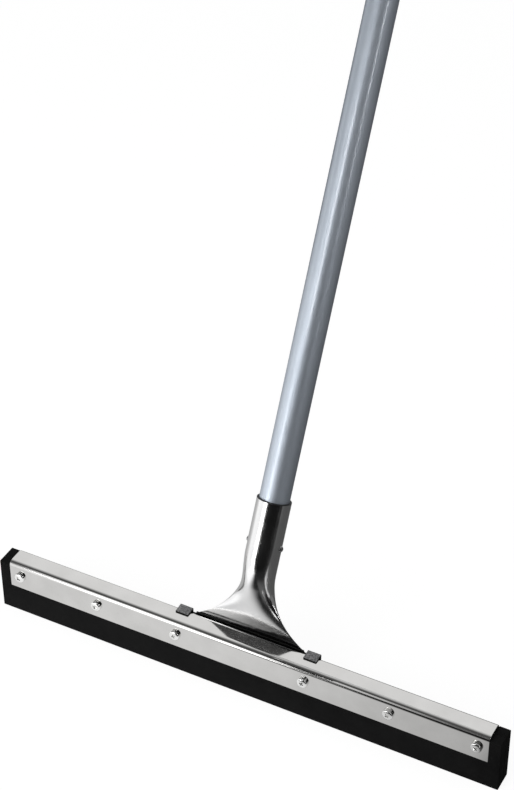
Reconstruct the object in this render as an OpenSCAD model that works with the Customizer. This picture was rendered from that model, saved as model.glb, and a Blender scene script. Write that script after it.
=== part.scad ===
// Floor squeegee: a folded steel channel clamps two foam rubber strips, and a flared
// socket bolted to its back carries a tube handle locked by two spring buttons.
// X runs along the blade, -Y is the side the screw heads face, and Z is up.
// The origin is the middle of the wiping edge.

/* [Rubber strips] */
// Length of the rubber strips
blade_len = 457; // [360:1:700]
// Height of a rubber strip
rubber_h = 49.5; // [44:0.5:64]
// Thickness of one strip where nothing squeezes it
rubber_t = 9.5; // [9:0.1:12]

/* [Frame channel] */
// Depth of the channel, over its two walls
channel_d = 19.4; // [17:0.1:20.4]
// Height of the channel's walls
channel_h = 26; // [24:0.5:34]
// Thickness of the channel's sheet
sheet_t = 1.2; // [0.8:0.1:1.6]
// Outside radius of the channel's folds
bend_r = 4.5; // [2:0.1:5.5]
// How far the rubber runs past each end of the channel
rubber_past = 10; // [3:0.5:20]
// Free height between the rubber's top and the channel's web
rubber_top_gap = 1.8; // [0.5:0.1:4]

/* [Clamp screws] */
// Room between the socket's flange and the washers of the two middle screws
flange_clear = 4; // [3:0.5:20]
// Distance of the outer screws from the channel's ends
screw_end = 10; // [7:0.5:20]
// Radius of the screws' thread
screw_r = 2.5; // [2:0.1:2.6]
// Clearance around a screw in its holes
screw_gap = 0.2; // [0.1:0.05:0.5]
// Radius of a screw head
head_r = 4.75; // [4:0.05:5.5]
// Height of a screw head
head_h = 3.3; // [2.6:0.1:4]
// Height of the dome on a screw head
head_dome = 1.1; // [0.6:0.1:1.6]
// Width of the cross recess's arms
cross_w = 1.2; // [0.8:0.1:1.4]
// Length of the cross recess from tip to tip
cross_len = 5; // [4:0.1:5.6]
// Depth of the cross recess
cross_deep = 1.9; // [1.2:0.1:2.2]
// Radius of a washer
washer_r = 5; // [4.6:0.1:5.6]
// Thickness of a washer
washer_t = 1; // [0.6:0.1:1.4]
// Width of a nut across its flats
nut_af = 8; // [7.4:0.1:9]
// Thickness of a nut
nut_h = 4; // [3:0.1:5]
// How far a screw stands past its nut at the back plate
screw_past = 0.4; // [0.2:0.1:3]

/* [Back plate] */
// Thickness of the plate's sheet
plate_t = 1.2; // [0.8:0.1:2]
// Height of the plate below the channel's top
plate_h = 23; // [20:0.5:24]
// Width of a tab folded over the channel
tab_w = 11.6; // [10:0.1:13]
// Reach of a tab over the channel's top, from the channel's back
tab_reach = 7.8; // [5:0.1:12]
// Inside radius of a tab's fold
tab_fold_r = 0.6; // [0.3:0.1:1.5]

/* [Handle socket] */
// Lean of the handle from upright
handle_tilt = 26; // [15:0.5:35]
// Height of the fan's front, up to where the tube leans away
fan_rise = 57.1; // [45:0.1:75]
// How far the fan's front leans back over its height
fan_back = 2.5; // [0:0.1:5]
// Length of the round bend between the fan and the tube, each way
fan_bend = 14; // [10:0.5:20]
// Height over which the fan's sides flare, from the channel's top
flare_len = 63; // [50:0.5:68]
// Width of the flange behind the channel
flange_w = 99; // [80:0.5:160]
// Height of the flange
flange_h = 21; // [16:0.5:22]
// Thickness of the flange, where the socket's wall is pressed flat and stretched
flange_t = 2; // [1.6:0.1:3]
// Distance of the flange's top below the channel's top
flange_drop = 2.1; // [1:0.1:4]
// Length of the socket's round part, from the bend to its mouth
socket_len = 48.3; // [48:0.1:80]
// Wall of the socket
socket_wall = 1.6; // [1:0.1:2]
// Clearance between the handle and the socket's bore
socket_gap = 0.15; // [0.1:0.05:0.4]

/* [Handle] */
// Radius of the handle tube
tube_r = 12.5; // [11:0.1:14]
// Wall of the handle tube
tube_wall = 0.8; // [0.6:0.1:1.5]
// Length of the handle tube
tube_len = 1250; // [600:1:1500]
// Distance of the tube's lower end above the socket's bend
tube_stop = 2; // [1:0.5:6]

/* [Spring clip and buttons] */
// Distance of the buttons below the socket's mouth
button_below = 38; // [28:0.5:40]
// Radius of a button
button_r = 2.7; // [2:0.1:3]
// Clearance around a button in its holes
button_gap = 0.1; // [0.05:0.01:0.3]
// How far a button stands out of the socket at rest
button_proud = 2; // [1.2:0.1:2.4]
// Width of the clip's strip
clip_w = 8; // [7:0.1:10]
// Thickness of the clip's strip
clip_t = 0.6; // [0.4:0.1:0.8]
// Length of a clip arm above its button
clip_arm = 30; // [20:0.5:45]
// Length of a clip arm below its button
clip_foot = 8; // [5:0.5:9]
// Clearance of the clip in the tube, and of a button on the clip
clip_gap = 0.1; // [0.05:0.01:0.3]

/* [Hanger cap] */
// Length of the plug inside the tube
plug_len = 24; // [12:0.5:40]
// Clearance of the plug in the tube
plug_gap = 0.05; // [0.02:0.01:0.2]
// Length of the cap past the tube's end
cap_len = 34; // [30:0.5:50]
// Length of the round collar on the tube's end
cap_collar = 7; // [4:0.5:9]
// Thickness of the cap's flat tongue
tongue_t = 11; // [7:0.5:14]
// Radius of the hanging hole
hang_r = 4.5; // [3:0.1:5.5]

/* [Hidden] */
$fn = 64;

// The cuts run this far past the faces they break through
past = 1;

// Channel
channel_len = blade_len - 2 * rubber_past;
channel_top = rubber_h + rubber_top_gap + sheet_t;
channel_low = channel_top - channel_h;
channel_back = channel_d / 2;
clamped_t = channel_back - sheet_t;

// Screws, from the middle out, on both sides
screw_mid_x = flange_w / 2 + flange_clear + washer_r;
screw_last_x = channel_len / 2 - screw_end;
screw_xs = [screw_mid_x, (screw_mid_x + screw_last_x) / 2, screw_last_x];
screw_z = channel_top - channel_h / 2;
screw_len = channel_d + plate_t + washer_t + nut_h + screw_past;

// Back plate
plate_back = channel_back + plate_t;
plate_half = screw_mid_x + tab_w / 2;
tab_bend_r = tab_fold_r + plate_t;

// Socket: the fan's front rises from the plate's back, up to the corner where the tube's
// front line leans away
socket_bore_r = tube_r + socket_gap;
socket_r = socket_bore_r + socket_wall;
corner_y = plate_back + fan_back;
corner_z = channel_top + fan_rise;
straight_z = corner_z - fan_bend;
bend_end_y = corner_y + fan_bend * sin(handle_tilt);
bend_end_z = corner_z + fan_bend * cos(handle_tilt);
// The tube's axis at the end of the bend
axis_y = bend_end_y + socket_r * cos(handle_tilt);
axis_z = bend_end_z - socket_r * sin(handle_tilt);

// Places along the tube's axis, counted from the end of the bend
mouth_s = socket_len;
tube_low_s = tube_stop;
button_s = mouth_s - button_below;
tube_top_s = tube_low_s + tube_len;

// Clip: the strip's outer corners keep their clearance from the tube's inside
tube_inner_r = tube_r - tube_wall;
clip_x = sqrt(pow(tube_inner_r - clip_gap, 2) - pow(clip_w / 2, 2));
button_tip = socket_r + button_proud;
button_hole_r = button_r + button_gap;
button_tail_r = button_r / 2;

// The loft of the fan: how fast its width flares and its depth swells, and its rings and points
flare_power = 3.1;
swell_power = 0.87;
fan_rings = 16;
fan_points = 48;
// The hollow starts at this share of the fan's height, and its wall takes at most this share of the depth
hollow_u = 0.18;
hollow_wall = 0.8;
// The loft's ends stay this far inside the exact solids that they run into
loft_inset = 0.1;
loft_overlap = 2;

module on_both_sides() {
    children();
    mirror([1, 0, 0]) children();
}

module at_screws() {
    on_both_sides()
        for (x = screw_xs)
            translate([x, 0, screw_z]) children();
}

module on_handle_axis() {
    translate([0, axis_y, axis_z])
        rotate([-handle_tilt, 0, 0])
            children();
}

// A round bar along +Y from y = low to y = high
module bar_y(r, low, high) {
    translate([0, low, 0])
        rotate([-90, 0, 0])
            cylinder(r = r, h = high - low);
}

// A round bar along +X from x = low to x = high
module bar_x(r, low, high) {
    translate([low, 0, 0])
        rotate([0, 90, 0])
            cylinder(r = r, h = high - low);
}

// A profile drawn in Y and Z, made into a bar along X about the middle
module along_x(len) {
    rotate([90, 0, 90])
        linear_extrude(height = len, center = true)
            children();
}

module screw_holes() {
    at_screws() bar_y(screw_r + screw_gap, -channel_d, channel_d);
}

// A rectangle whose two upper corners are round
module arch(half, low, high, r) {
    translate([-half, low]) square([2 * half, high - low - r]);
    translate([-half + r, low]) square([2 * (half - r), high - low]);
    for (side = [-1, 1])
        translate([side * (half - r), high - r]) circle(r = r);
}

// The space between the channel's walls
module channel_inside() {
    arch(clamped_t, channel_low - past, channel_top - sheet_t, bend_r - sheet_t);
}

module frame_channel() {
    color("silver")
    difference() {
        along_x(channel_len)
            difference() {
                arch(channel_back, channel_low, channel_top, bend_r);
                channel_inside();
            }
        screw_holes();
    }
}

// One strip on the +Y side: its free block, less what the channel squeezes away
module rubber_strip() {
    difference() {
        translate([-blade_len / 2, 0, 0]) cube([blade_len, rubber_t, rubber_h]);
        along_x(channel_len)
            difference() {
                translate([0, channel_low]) square([2 * rubber_t, rubber_h]);
                channel_inside();
            }
        screw_holes();
    }
}

module rubber_front() {
    color("#202020") mirror([0, 1, 0]) rubber_strip();
}

module rubber_back() {
    color("#202020") rubber_strip();
}

// A pan head on the channel's front wall with a cross recess, and its threaded shank
module clamp_screw() {
    dome_r = (pow(head_r, 2) + pow(head_dome, 2)) / (2 * head_dome);
    translate([0, -channel_back, 0]) {
        bar_y(screw_r, -head_h / 2, screw_len);
        difference() {
            intersection() {
                bar_y(head_r, -head_h, 0);
                translate([0, dome_r - head_h, 0]) sphere(r = dome_r);
            }
            for (turn = [45, 135])
                rotate([0, turn, 0])
                    translate([-cross_len / 2, -head_h - past, -cross_w / 2])
                        cube([cross_len, cross_deep + past, cross_w]);
        }
    }
}

module clamp_screws() {
    color("gainsboro") at_screws() clamp_screw();
}

// The two middle screws also hold the back plate, so their washers and nuts sit further back
function seat_y(x) = x == screw_mid_x ? plate_back : channel_back;

module at_screw_backs() {
    on_both_sides()
        for (x = screw_xs)
            translate([x, seat_y(x), screw_z]) children();
}

module clamp_washers() {
    color("silver")
    at_screw_backs()
        difference() {
            bar_y(washer_r, 0, washer_t);
            bar_y(screw_r + screw_gap, -past, washer_t + past);
        }
}

module clamp_nuts() {
    nut_corner_r = nut_af / 2 / cos(30);
    color("silver")
    at_screw_backs()
        translate([0, washer_t, 0])
            difference() {
                rotate([-90, 0, 0]) cylinder(r = nut_corner_r, h = nut_h, $fn = 6);
                bar_y(screw_r, -past, nut_h + past);
            }
}

// The section of a tab: up the channel's back, round the fold and forward over its top
module tab_section() {
    tab_top = channel_top + plate_t;
    fold_y = plate_back - tab_bend_r;
    fold_z = tab_top - tab_bend_r;
    translate([channel_back, screw_z]) square([plate_t, fold_z - screw_z]);
    translate([channel_back - tab_reach, channel_top]) square([fold_y - channel_back + tab_reach, plate_t]);
    intersection() {
        translate([fold_y, fold_z])
            difference() {
                circle(r = tab_bend_r);
                circle(r = tab_fold_r);
            }
        translate([fold_y, fold_z]) square(tab_bend_r);
    }
}

module back_plate() {
    color("dimgray")
    difference() {
        union() {
            translate([-plate_half, channel_back, channel_top - plate_h])
                cube([2 * plate_half, plate_t, plate_h]);
            on_both_sides()
                translate([screw_mid_x, 0, 0]) along_x(tab_w) tab_section();
        }
        on_both_sides()
            translate([screw_mid_x, 0, screw_z]) bar_y(screw_r + screw_gap, 0, plate_back + past);
    }
}

function ease(u) = u * u * (3 - 2 * u);

// The fan's front line: straight, then a curve round the corner onto the tube's front.
// A share u counts along it from the channel's top, so the flange's top lies below 0
fan_path_len = fan_rise + fan_bend;
fan_bend_u = (fan_rise - fan_bend) / fan_path_len;
fan_low_u = -flange_drop / fan_path_len;

// How much of the flare is left at a share u: 1 at the flange's top, 0 where the sides run straight
function flare_left(u) = max(flare_len - u * fan_path_len, 0) / (flare_len + flange_drop);

// The fan's oval section at a share u of its way up: half width, half depth and lean
function fan_half(u) =
    socket_r + (flange_w / 2 - socket_r) * pow(flare_left(u), flare_power);
function fan_depth(u) =
    flange_t / 2 + (socket_r - flange_t / 2) * ease(pow(max(u, 0), swell_power));
function fan_lean(u) = handle_tilt * ease(max(u, 0));

function mix(a, b, t) = a + (b - a) * t;
function curve3(a, b, c, t) = mix(mix(a, b, t), mix(b, c, t), t);
function bend_share(u) = (u - fan_bend_u) / (1 - fan_bend_u);
function straight_y(z) = plate_back + fan_back * max(z - channel_top, 0) / fan_rise;
function front_y(u) = u < fan_bend_u
    ? straight_y(front_z(u))
    : curve3(straight_y(straight_z), corner_y, bend_end_y, bend_share(u));
function front_z(u) = u < fan_bend_u
    ? mix(channel_top, straight_z, u / fan_bend_u)
    : curve3(straight_z, corner_z, bend_end_z, bend_share(u));

// A ring of the loft at u, drawn in by inset, and moved along the tube's lean by lift
function fan_ring(u, inset, lift) =
    let (
        half = fan_half(u) - inset,
        depth = fan_depth(u) - inset,
        lean = fan_lean(u),
        centre_y = front_y(u) + fan_depth(u) * cos(lean) + lift * sin(lean),
        centre_z = front_z(u) - fan_depth(u) * sin(lean) + lift * cos(lean)
    )
    [for (i = [0 : fan_points - 1])
        let (
            angle = 360 * i / fan_points,
            back = depth * sin(angle)
        )
        [half * cos(angle), centre_y + back * cos(lean), centre_z - back * sin(lean)]];

// The loft is a closed skin: up the outside, over the top rim, and down the hollow inside to
// where its two sheets meet
function rings_between(low, high, count) = [for (i = [0 : count - 1]) mix(low, high, i / (count - 1))];
outside_rings = concat(
    [fan_ring(fan_low_u, loft_inset, -loft_overlap), fan_ring(fan_low_u, loft_inset, loft_inset)],
    [for (u = rings_between(0, 1, fan_rings)) if (u < 1) fan_ring(u, 0, 0)],
    [fan_ring(1, loft_inset, loft_overlap)]
);
inside_rings = concat(
    [fan_ring(1, socket_wall - loft_inset, loft_overlap)],
    [for (u = rings_between(1, hollow_u, fan_rings))
        if (u < 1) fan_ring(u, min(socket_wall, hollow_wall * fan_depth(u)), 0)]
);
fan_skin = concat(outside_rings, inside_rings);

function skin_faces(rings, n) = concat(
    [[for (i = [0 : n - 1]) i]],
    [for (r = [0 : rings - 2], i = [0 : n - 1])
        each [
            [r * n + i, (r + 1) * n + i, (r + 1) * n + (i + 1) % n],
            [r * n + i, (r + 1) * n + (i + 1) % n, r * n + (i + 1) % n]
        ]],
    [[for (i = [n - 1 : -1 : 0]) (rings - 1) * n + i]]
);

module fan() {
    polyhedron(
        points = [for (ring = fan_skin) each ring],
        faces = skin_faces(len(fan_skin), fan_points),
        convexity = 6
    );
}

module handle_socket() {
    color("lightgray")
    difference() {
        union() {
            fan();
            translate([-flange_w / 2, plate_back, channel_top - flange_drop - flange_h])
                cube([flange_w, flange_t, flange_h]);
            on_handle_axis()
                difference() {
                    cylinder(r = socket_r, h = socket_len);
                    translate([0, 0, -past]) cylinder(r = socket_bore_r, h = socket_len + 2 * past);
                }
        }
        on_handle_axis()
            translate([0, 0, button_s]) bar_x(button_hole_r, -button_tip, button_tip);
    }
}

module handle_tube() {
    color("lightslategray")
    on_handle_axis()
        difference() {
            translate([0, 0, tube_low_s]) cylinder(r = tube_r, h = tube_len);
            translate([0, 0, tube_low_s - past]) cylinder(r = tube_inner_r, h = tube_len + 2 * past);
            translate([0, 0, button_s]) bar_x(button_hole_r, -button_tip, button_tip);
        }
}

// A strip bent into a U: two arms inside the tube, joined by a half ring above them
module spring_clip() {
    bow_s = button_s + clip_arm;
    color("slategray")
    on_handle_axis()
        difference() {
            union() {
                on_both_sides()
                    translate([clip_x - clip_t, -clip_w / 2, button_s - clip_foot])
                        cube([clip_t, clip_w, clip_foot + clip_arm]);
                translate([0, 0, bow_s])
                    difference() {
                        bar_y(clip_x, -clip_w / 2, clip_w / 2);
                        bar_y(clip_x - clip_t, -clip_w, clip_w);
                        translate([-clip_x - past, -clip_w, -clip_x - past])
                            cube([2 * (clip_x + past), 2 * clip_w, clip_x + past]);
                    }
            }
            translate([0, 0, button_s]) bar_x(button_tail_r + clip_gap, -button_tip, button_tip);
        }
}

// Half the section of a button, from its tail through the clip's arm to its domed tip
module button_section() {
    seat = clip_x + clip_gap;
    tail = clip_x - 2 * clip_t;
    dome = button_tip - button_proud;
    dome_r = (pow(button_r, 2) + pow(button_proud, 2)) / (2 * button_proud);
    translate([0, tail]) square([button_tail_r, seat + clip_t - tail]);
    translate([0, seat]) square([button_r, dome - seat]);
    intersection() {
        translate([0, button_tip - dome_r]) circle(r = dome_r);
        translate([0, seat]) square([button_r, button_tip - seat]);
    }
}

// A button on the +X side: a domed peg on the clip's arm, with a tail through the arm
module lock_button() {
    color("silver")
    on_handle_axis()
        translate([0, 0, button_s])
            rotate([0, 90, 0])
                rotate_extrude() button_section();
}

module button_left() {
    mirror([1, 0, 0]) lock_button();
}

module button_right() {
    lock_button();
}

// A plug in the tube's top, a collar on its end, and a flat round tongue with a hanging hole
module hanger_cap() {
    tongue_z = cap_len - tube_r;
    color("#303030")
    on_handle_axis()
        translate([0, 0, tube_top_s]) {
            translate([0, 0, -plug_len]) cylinder(r = tube_inner_r - plug_gap, h = plug_len);
            cylinder(r = tube_r, h = cap_collar);
            difference() {
                intersection() {
                    cylinder(r = tube_r, h = cap_len);
                    union() {
                        translate([0, 0, tongue_z]) bar_y(tube_r, -tongue_t / 2, tongue_t / 2);
                        translate([-tube_r, -tongue_t / 2, 0]) cube([2 * tube_r, tongue_t, tongue_z]);
                    }
                }
                translate([0, 0, tongue_z]) bar_y(hang_r, -tube_r, tube_r);
            }
        }
}

frame_channel();
rubber_front();
rubber_back();
clamp_screws();
clamp_washers();
clamp_nuts();
back_plate();
handle_socket();
handle_tube();
spring_clip();
button_left();
button_right();
hanger_cap();
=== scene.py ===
"""Floor squeegee: soft edges, finishes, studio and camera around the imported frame."""

import math

import bmesh
import bpy
from mathutils import Matrix, Vector


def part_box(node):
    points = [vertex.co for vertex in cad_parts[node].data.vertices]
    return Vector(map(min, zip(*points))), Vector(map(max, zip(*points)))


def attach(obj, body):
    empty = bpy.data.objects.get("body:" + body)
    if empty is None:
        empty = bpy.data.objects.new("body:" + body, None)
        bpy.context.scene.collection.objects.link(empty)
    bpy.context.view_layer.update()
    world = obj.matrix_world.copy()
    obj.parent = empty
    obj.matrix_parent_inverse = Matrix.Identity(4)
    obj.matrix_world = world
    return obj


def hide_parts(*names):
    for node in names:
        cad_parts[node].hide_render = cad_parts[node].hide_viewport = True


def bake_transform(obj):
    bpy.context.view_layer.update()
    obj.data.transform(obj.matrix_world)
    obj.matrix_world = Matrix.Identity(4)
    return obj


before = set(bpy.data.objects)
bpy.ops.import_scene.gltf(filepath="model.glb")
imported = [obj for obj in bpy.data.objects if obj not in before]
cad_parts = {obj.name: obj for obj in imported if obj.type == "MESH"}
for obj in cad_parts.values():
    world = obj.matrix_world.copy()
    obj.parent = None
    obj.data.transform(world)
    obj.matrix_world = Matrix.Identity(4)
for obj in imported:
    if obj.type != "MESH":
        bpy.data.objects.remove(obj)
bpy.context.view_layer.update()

MM = 0.001
HEAD = "head_and_handle"


def box_mm(node):
    """The lowest and highest corner of a node, in millimetres."""
    low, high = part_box(node)
    return low / MM, high / MM


# Sizes that the solids have and their boxes don't give: millimetres, apart from angles, shares and powers
SHEET = 1.2
FOLD_R = 4.5
FLANGE_CLEAR = 4.0
SCREW_END = 10.0
SCREW_R = 2.5
SCREW_GAP = 0.2
HEAD_R = 4.75
CROSS_W = 1.2
CROSS_LEN = 5.0
CROSS_DEEP = 1.9
WASHER_R = 5.0
WASHER_T = 1.0
NUT_AF = 8.0
NUT_H = 4.0
PLATE_T = 1.2
PLATE_H = 23.0
TAB_W = 11.6
TAB_REACH = 7.8
TAB_FOLD_R = 0.6
TILT = math.radians(26)
FAN_RISE = 57.1
FAN_BACK = 2.5
FAN_BEND = 14.0
FLANGE_H = 21.0
FLANGE_DROP = 2.1
FLANGE_T = 2.0
SWELL_POWER = 0.87
HOLLOW_U = 0.18
HOLLOW_WALL = 0.8
SOCKET_LEN = 48.3
SOCKET_WALL = 1.6
TUBE_R = 12.5
TUBE_WALL = 0.8
TUBE_GAP = 0.15
TUBE_STOP = 2.0
TUBE_LEN = 1250.0
BUTTON_BELOW = 38.0
BUTTON_R = 2.7
BUTTON_GAP = 0.1
CLIP_W = 8.0
CLIP_T = 0.6
CLIP_ARM = 30.0
CLIP_FOOT = 8.0
CLIP_GAP = 0.1

# Shapes that the scene alone has, in the same units
# The front fold's reach along the channel's top and down its wall
FRONT_FOLD = (5.0, 4.2)
RUBBER_EDGE = 0.5
CLAMPED_EDGE = 2.0
NOTCH_DEEP = 2.0
TAB_BULGE = 0.8
FLARE_LEN = 58.0
FLARE_POWER = 2.45
LEFT_PINCH = 2.0
# How deep the fan's front half is at its base, and how far up its way this wears off
FAN_FLAT = 0.25
FAN_FLAT_U = 0.62
# The fullness of an oval: an ellipse has 2, and more is boxier
ELLIPSE = 2.0
BOXY = 7.0

# The head's main places, from the frame
channel_corner, channel_far = box_mm("frame_channel")
rubber_far = box_mm("rubber_back")[1]
CHANNEL_HALF = channel_far.x
CHANNEL_BACK = channel_far.y
CHANNEL_TOP = channel_far.z
CHANNEL_LOW = channel_corner.z
RUBBER_HALF = rubber_far.x
RUBBER_T = rubber_far.y
RUBBER_H = rubber_far.z
SHOULDER = RUBBER_T - (CHANNEL_BACK - SHEET)
FLANGE_HALF = box_mm("handle_socket")[1].x
SCREW_MID_X = FLANGE_HALF + FLANGE_CLEAR + WASHER_R
SCREW_LAST_X = CHANNEL_HALF - SCREW_END
SCREW_XS = (SCREW_MID_X, (SCREW_MID_X + SCREW_LAST_X) / 2, SCREW_LAST_X)
SCREW_Z = (CHANNEL_LOW + CHANNEL_TOP) / 2
SCREW_HOLE_R = SCREW_R + SCREW_GAP
HEAD_H = -box_mm("clamp_screws")[0].y - CHANNEL_BACK
PLATE_BACK = CHANNEL_BACK + PLATE_T
SOCKET_BORE_R = TUBE_R + TUBE_GAP
SOCKET_R = SOCKET_BORE_R + SOCKET_WALL
BUTTON_S = SOCKET_LEN - BUTTON_BELOW
BUTTON_HOLE_R = BUTTON_R + BUTTON_GAP
CLIP_HOLE_R = BUTTON_R / 2 + BUTTON_GAP

# The fan's front line, and the handle's axis at the end of the bend
CORNER_Y = PLATE_BACK + FAN_BACK
CORNER_Z = CHANNEL_TOP + FAN_RISE
STRAIGHT_Z = CORNER_Z - FAN_BEND
BEND_END_Y = CORNER_Y + FAN_BEND * math.sin(TILT)
BEND_END_Z = CORNER_Z + FAN_BEND * math.cos(TILT)
AXIS_Y = BEND_END_Y + SOCKET_R * math.cos(TILT)
AXIS_Z = BEND_END_Z - SOCKET_R * math.sin(TILT)
FAN_PATH = FAN_RISE + FAN_BEND
FAN_BEND_U = (FAN_RISE - FAN_BEND) / FAN_PATH
FAN_LOW_U = -FLANGE_DROP / FAN_PATH

# Extra points this far from a round, in millimetres, keep its shading off the flat beside it
SUPPORT = 0.15
# Points closer than this, in metres, are one point
SAME_POINT = 1e-6
# Edges that turn more than this, in degrees, stay sharp
SHARP_ANGLE = 40
ROUND_STEPS = 4
FOLD_STEPS = 12
SHOULDER_STEPS = 6


# Numbers
def mix(a, b, share):
    """The number at a share of the way from a to b."""
    return a + (b - a) * share


def held(value):
    """A value held between 0 and 1."""
    return min(max(value, 0), 1)


def ease(share):
    """A share that starts and ends gently."""
    return share * share * (3 - 2 * share)


def spread(low, high, steps):
    """Numbers at equal steps from low to high, both included."""
    return [mix(low, high, k / steps) for k in range(steps + 1)]


def quarter_turn(steps=ROUND_STEPS):
    """Angles of a round edge, from 0 to a right angle."""
    return spread(0, math.pi / 2, steps)


def full_turn(count):
    """Angles at equal steps once round."""
    return [2 * math.pi * i / count for i in range(count)]


def both_sides(xs):
    """Places along X and their mirror images, from left to right."""
    return [-x for x in reversed(xs)] + list(xs)


# Mesh helpers
def place_object(name, data):
    """A new object of some data, in the scene."""
    obj = bpy.data.objects.new(name, data)
    bpy.context.scene.collection.objects.link(obj)
    return obj


def add_object(name, points, faces):
    """A mesh object of points given in millimetres."""
    mesh = bpy.data.meshes.new(name)
    mesh.from_pydata([Vector(p) * MM for p in points], [], faces)
    made = bmesh.new()
    made.from_mesh(mesh)
    bmesh.ops.recalc_face_normals(made, faces=made.faces)
    made.to_mesh(mesh)
    made.free()
    return place_object(name, mesh)


def discard(obj):
    """Removes an object and its mesh."""
    mesh = obj.data
    bpy.data.objects.remove(obj)
    bpy.data.meshes.remove(mesh)


def skin(rings, looped=False):
    """Points and faces of a skin over rings, closed by caps or, looped, by joining its two ends."""
    count = len(rings[0])
    points = [point for ring in rings for point in ring]
    faces = []
    for r in range(len(rings) if looped else len(rings) - 1):
        here = r * count
        above = (r + 1) % len(rings) * count
        for i in range(count):
            j = (i + 1) % count
            faces.append((here + i, here + j, above + j, above + i))
    if not looped:
        last = (len(rings) - 1) * count
        faces.append(tuple(range(count - 1, -1, -1)))
        faces.append(tuple(range(last, last + count)))
    return points, faces


def rounded_outline(corners):
    """A closed outline through square corners (a, b, reach), counter-clockwise, each corner a quarter round.

    A reach of two numbers is an oval round: how far it goes along the side before and the side after.
    """
    outline = []
    for i, (a, b, reach) in enumerate(corners):
        here = Vector((a, b))
        to_before = (Vector(corners[i - 1][:2]) - here).normalized()
        to_after = (Vector(corners[(i + 1) % len(corners)][:2]) - here).normalized()
        before, after = reach if isinstance(reach, tuple) else (reach, reach)
        centre = here + to_before * before + to_after * after
        outline.append(here + to_before * (before + SUPPORT))
        for angle in quarter_turn(FOLD_STEPS):
            outline.append(centre - to_after * after * math.cos(angle) - to_before * before * math.sin(angle))
        outline.append(here + to_after * (after + SUPPORT))
    return outline


def inset(outline, amount):
    """A counter-clockwise outline drawn in by an amount, each point along its own normal."""
    drawn = []
    for i, point in enumerate(outline):
        along = (outline[(i + 1) % len(outline)] - outline[i - 1]).normalized()
        drawn.append(point + Vector((-along.y, along.x)) * amount)
    return drawn


def soft_ends(low, high, edge):
    """Places along a bar and how far its outline is drawn in there, for ends with rounded edges."""
    start = [(low + edge * (1 - math.cos(q)), edge * (1 - math.sin(q))) for q in quarter_turn()]
    start.append((low + edge + SUPPORT, 0))
    return start + [(low + high - at, drawn) for at, drawn in reversed(start)]


def bar_along_x(outline, low, high, edge):
    """Rings of a bar along X whose outline is drawn in Y and Z."""
    return [[(x, p.x, p.y) for p in inset(outline, drawn)] for x, drawn in soft_ends(low, high, edge)]


def plate_along_y(outline, low, high, edge):
    """Rings of a plate square to Y whose outline is drawn in X and Z."""
    return [[(p.x, y, p.y) for p in inset(outline, drawn)] for y, drawn in soft_ends(low, high, edge)]


def circle(radius, count):
    """Points (a, b) of a circle, counter-clockwise."""
    return [Vector((radius * math.cos(t), radius * math.sin(t))) for t in full_turn(count)]


def revolve_y(profile, count):
    """Rings about the Y axis through (radius, y) points."""
    return [[(p.x, y, p.y) for p in circle(radius, count)] for radius, y in profile]


def rod_y(radius, low, high):
    """Points and faces of a plain rod along Y."""
    count = 48
    return skin(revolve_y([(radius, low), (radius, high)], count))


def moved(x, y, z):
    """A move in millimetres."""
    return Matrix.Translation(Vector((x, y, z)) * MM)


def spun(degrees):
    """A turn about Y."""
    return Matrix.Rotation(math.radians(degrees), 4, "Y")


def freeze(obj):
    """Applies the object's modifiers to its mesh."""
    graph = bpy.context.evaluated_depsgraph_get()
    mesh = bpy.data.meshes.new_from_object(obj.evaluated_get(graph))
    obj.modifiers.clear()
    old = obj.data
    obj.data = mesh
    bpy.data.meshes.remove(old)


def combine(obj, other, operation):
    """Cuts other out of obj, or joins it on, and removes other."""
    modifier = obj.modifiers.new("combine", "BOOLEAN")
    modifier.operation = operation
    modifier.solver = "EXACT"
    modifier.object = other
    freeze(obj)
    discard(other)


def copies(name, source, matrices):
    """One object of copies of source, which is removed."""
    made = bmesh.new()
    for matrix in matrices:
        mesh = source.data.copy()
        mesh.transform(matrix)
        made.from_mesh(mesh)
        bpy.data.meshes.remove(mesh)
    mesh = bpy.data.meshes.new(name)
    made.to_mesh(mesh)
    made.free()
    discard(source)
    return place_object(name, mesh)


def join_points(obj):
    """Joins points that fall on each other, which leaves no face of no area."""
    mesh = bmesh.new()
    mesh.from_mesh(obj.data)
    bmesh.ops.remove_doubles(mesh, verts=mesh.verts, dist=SAME_POINT)
    mesh.to_mesh(obj.data)
    mesh.free()


def paint(obj, material):
    """Gives a mesh one material."""
    obj.data.materials.clear()
    obj.data.materials.append(material)


def dress(obj, material, sharp=SHARP_ANGLE):
    """Gives a mesh its material, and smooth shading up to an angle in degrees."""
    join_points(obj)
    paint(obj, material)
    obj.data.shade_smooth()
    obj.data.set_sharp_from_angle(angle=math.radians(sharp))


def finish_piece(obj, node, material, sharp=SHARP_ANGLE):
    """Makes a piece stand for a node of the head and handle."""
    dress(obj, material, sharp)
    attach(obj, HEAD)
    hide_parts(node)


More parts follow.
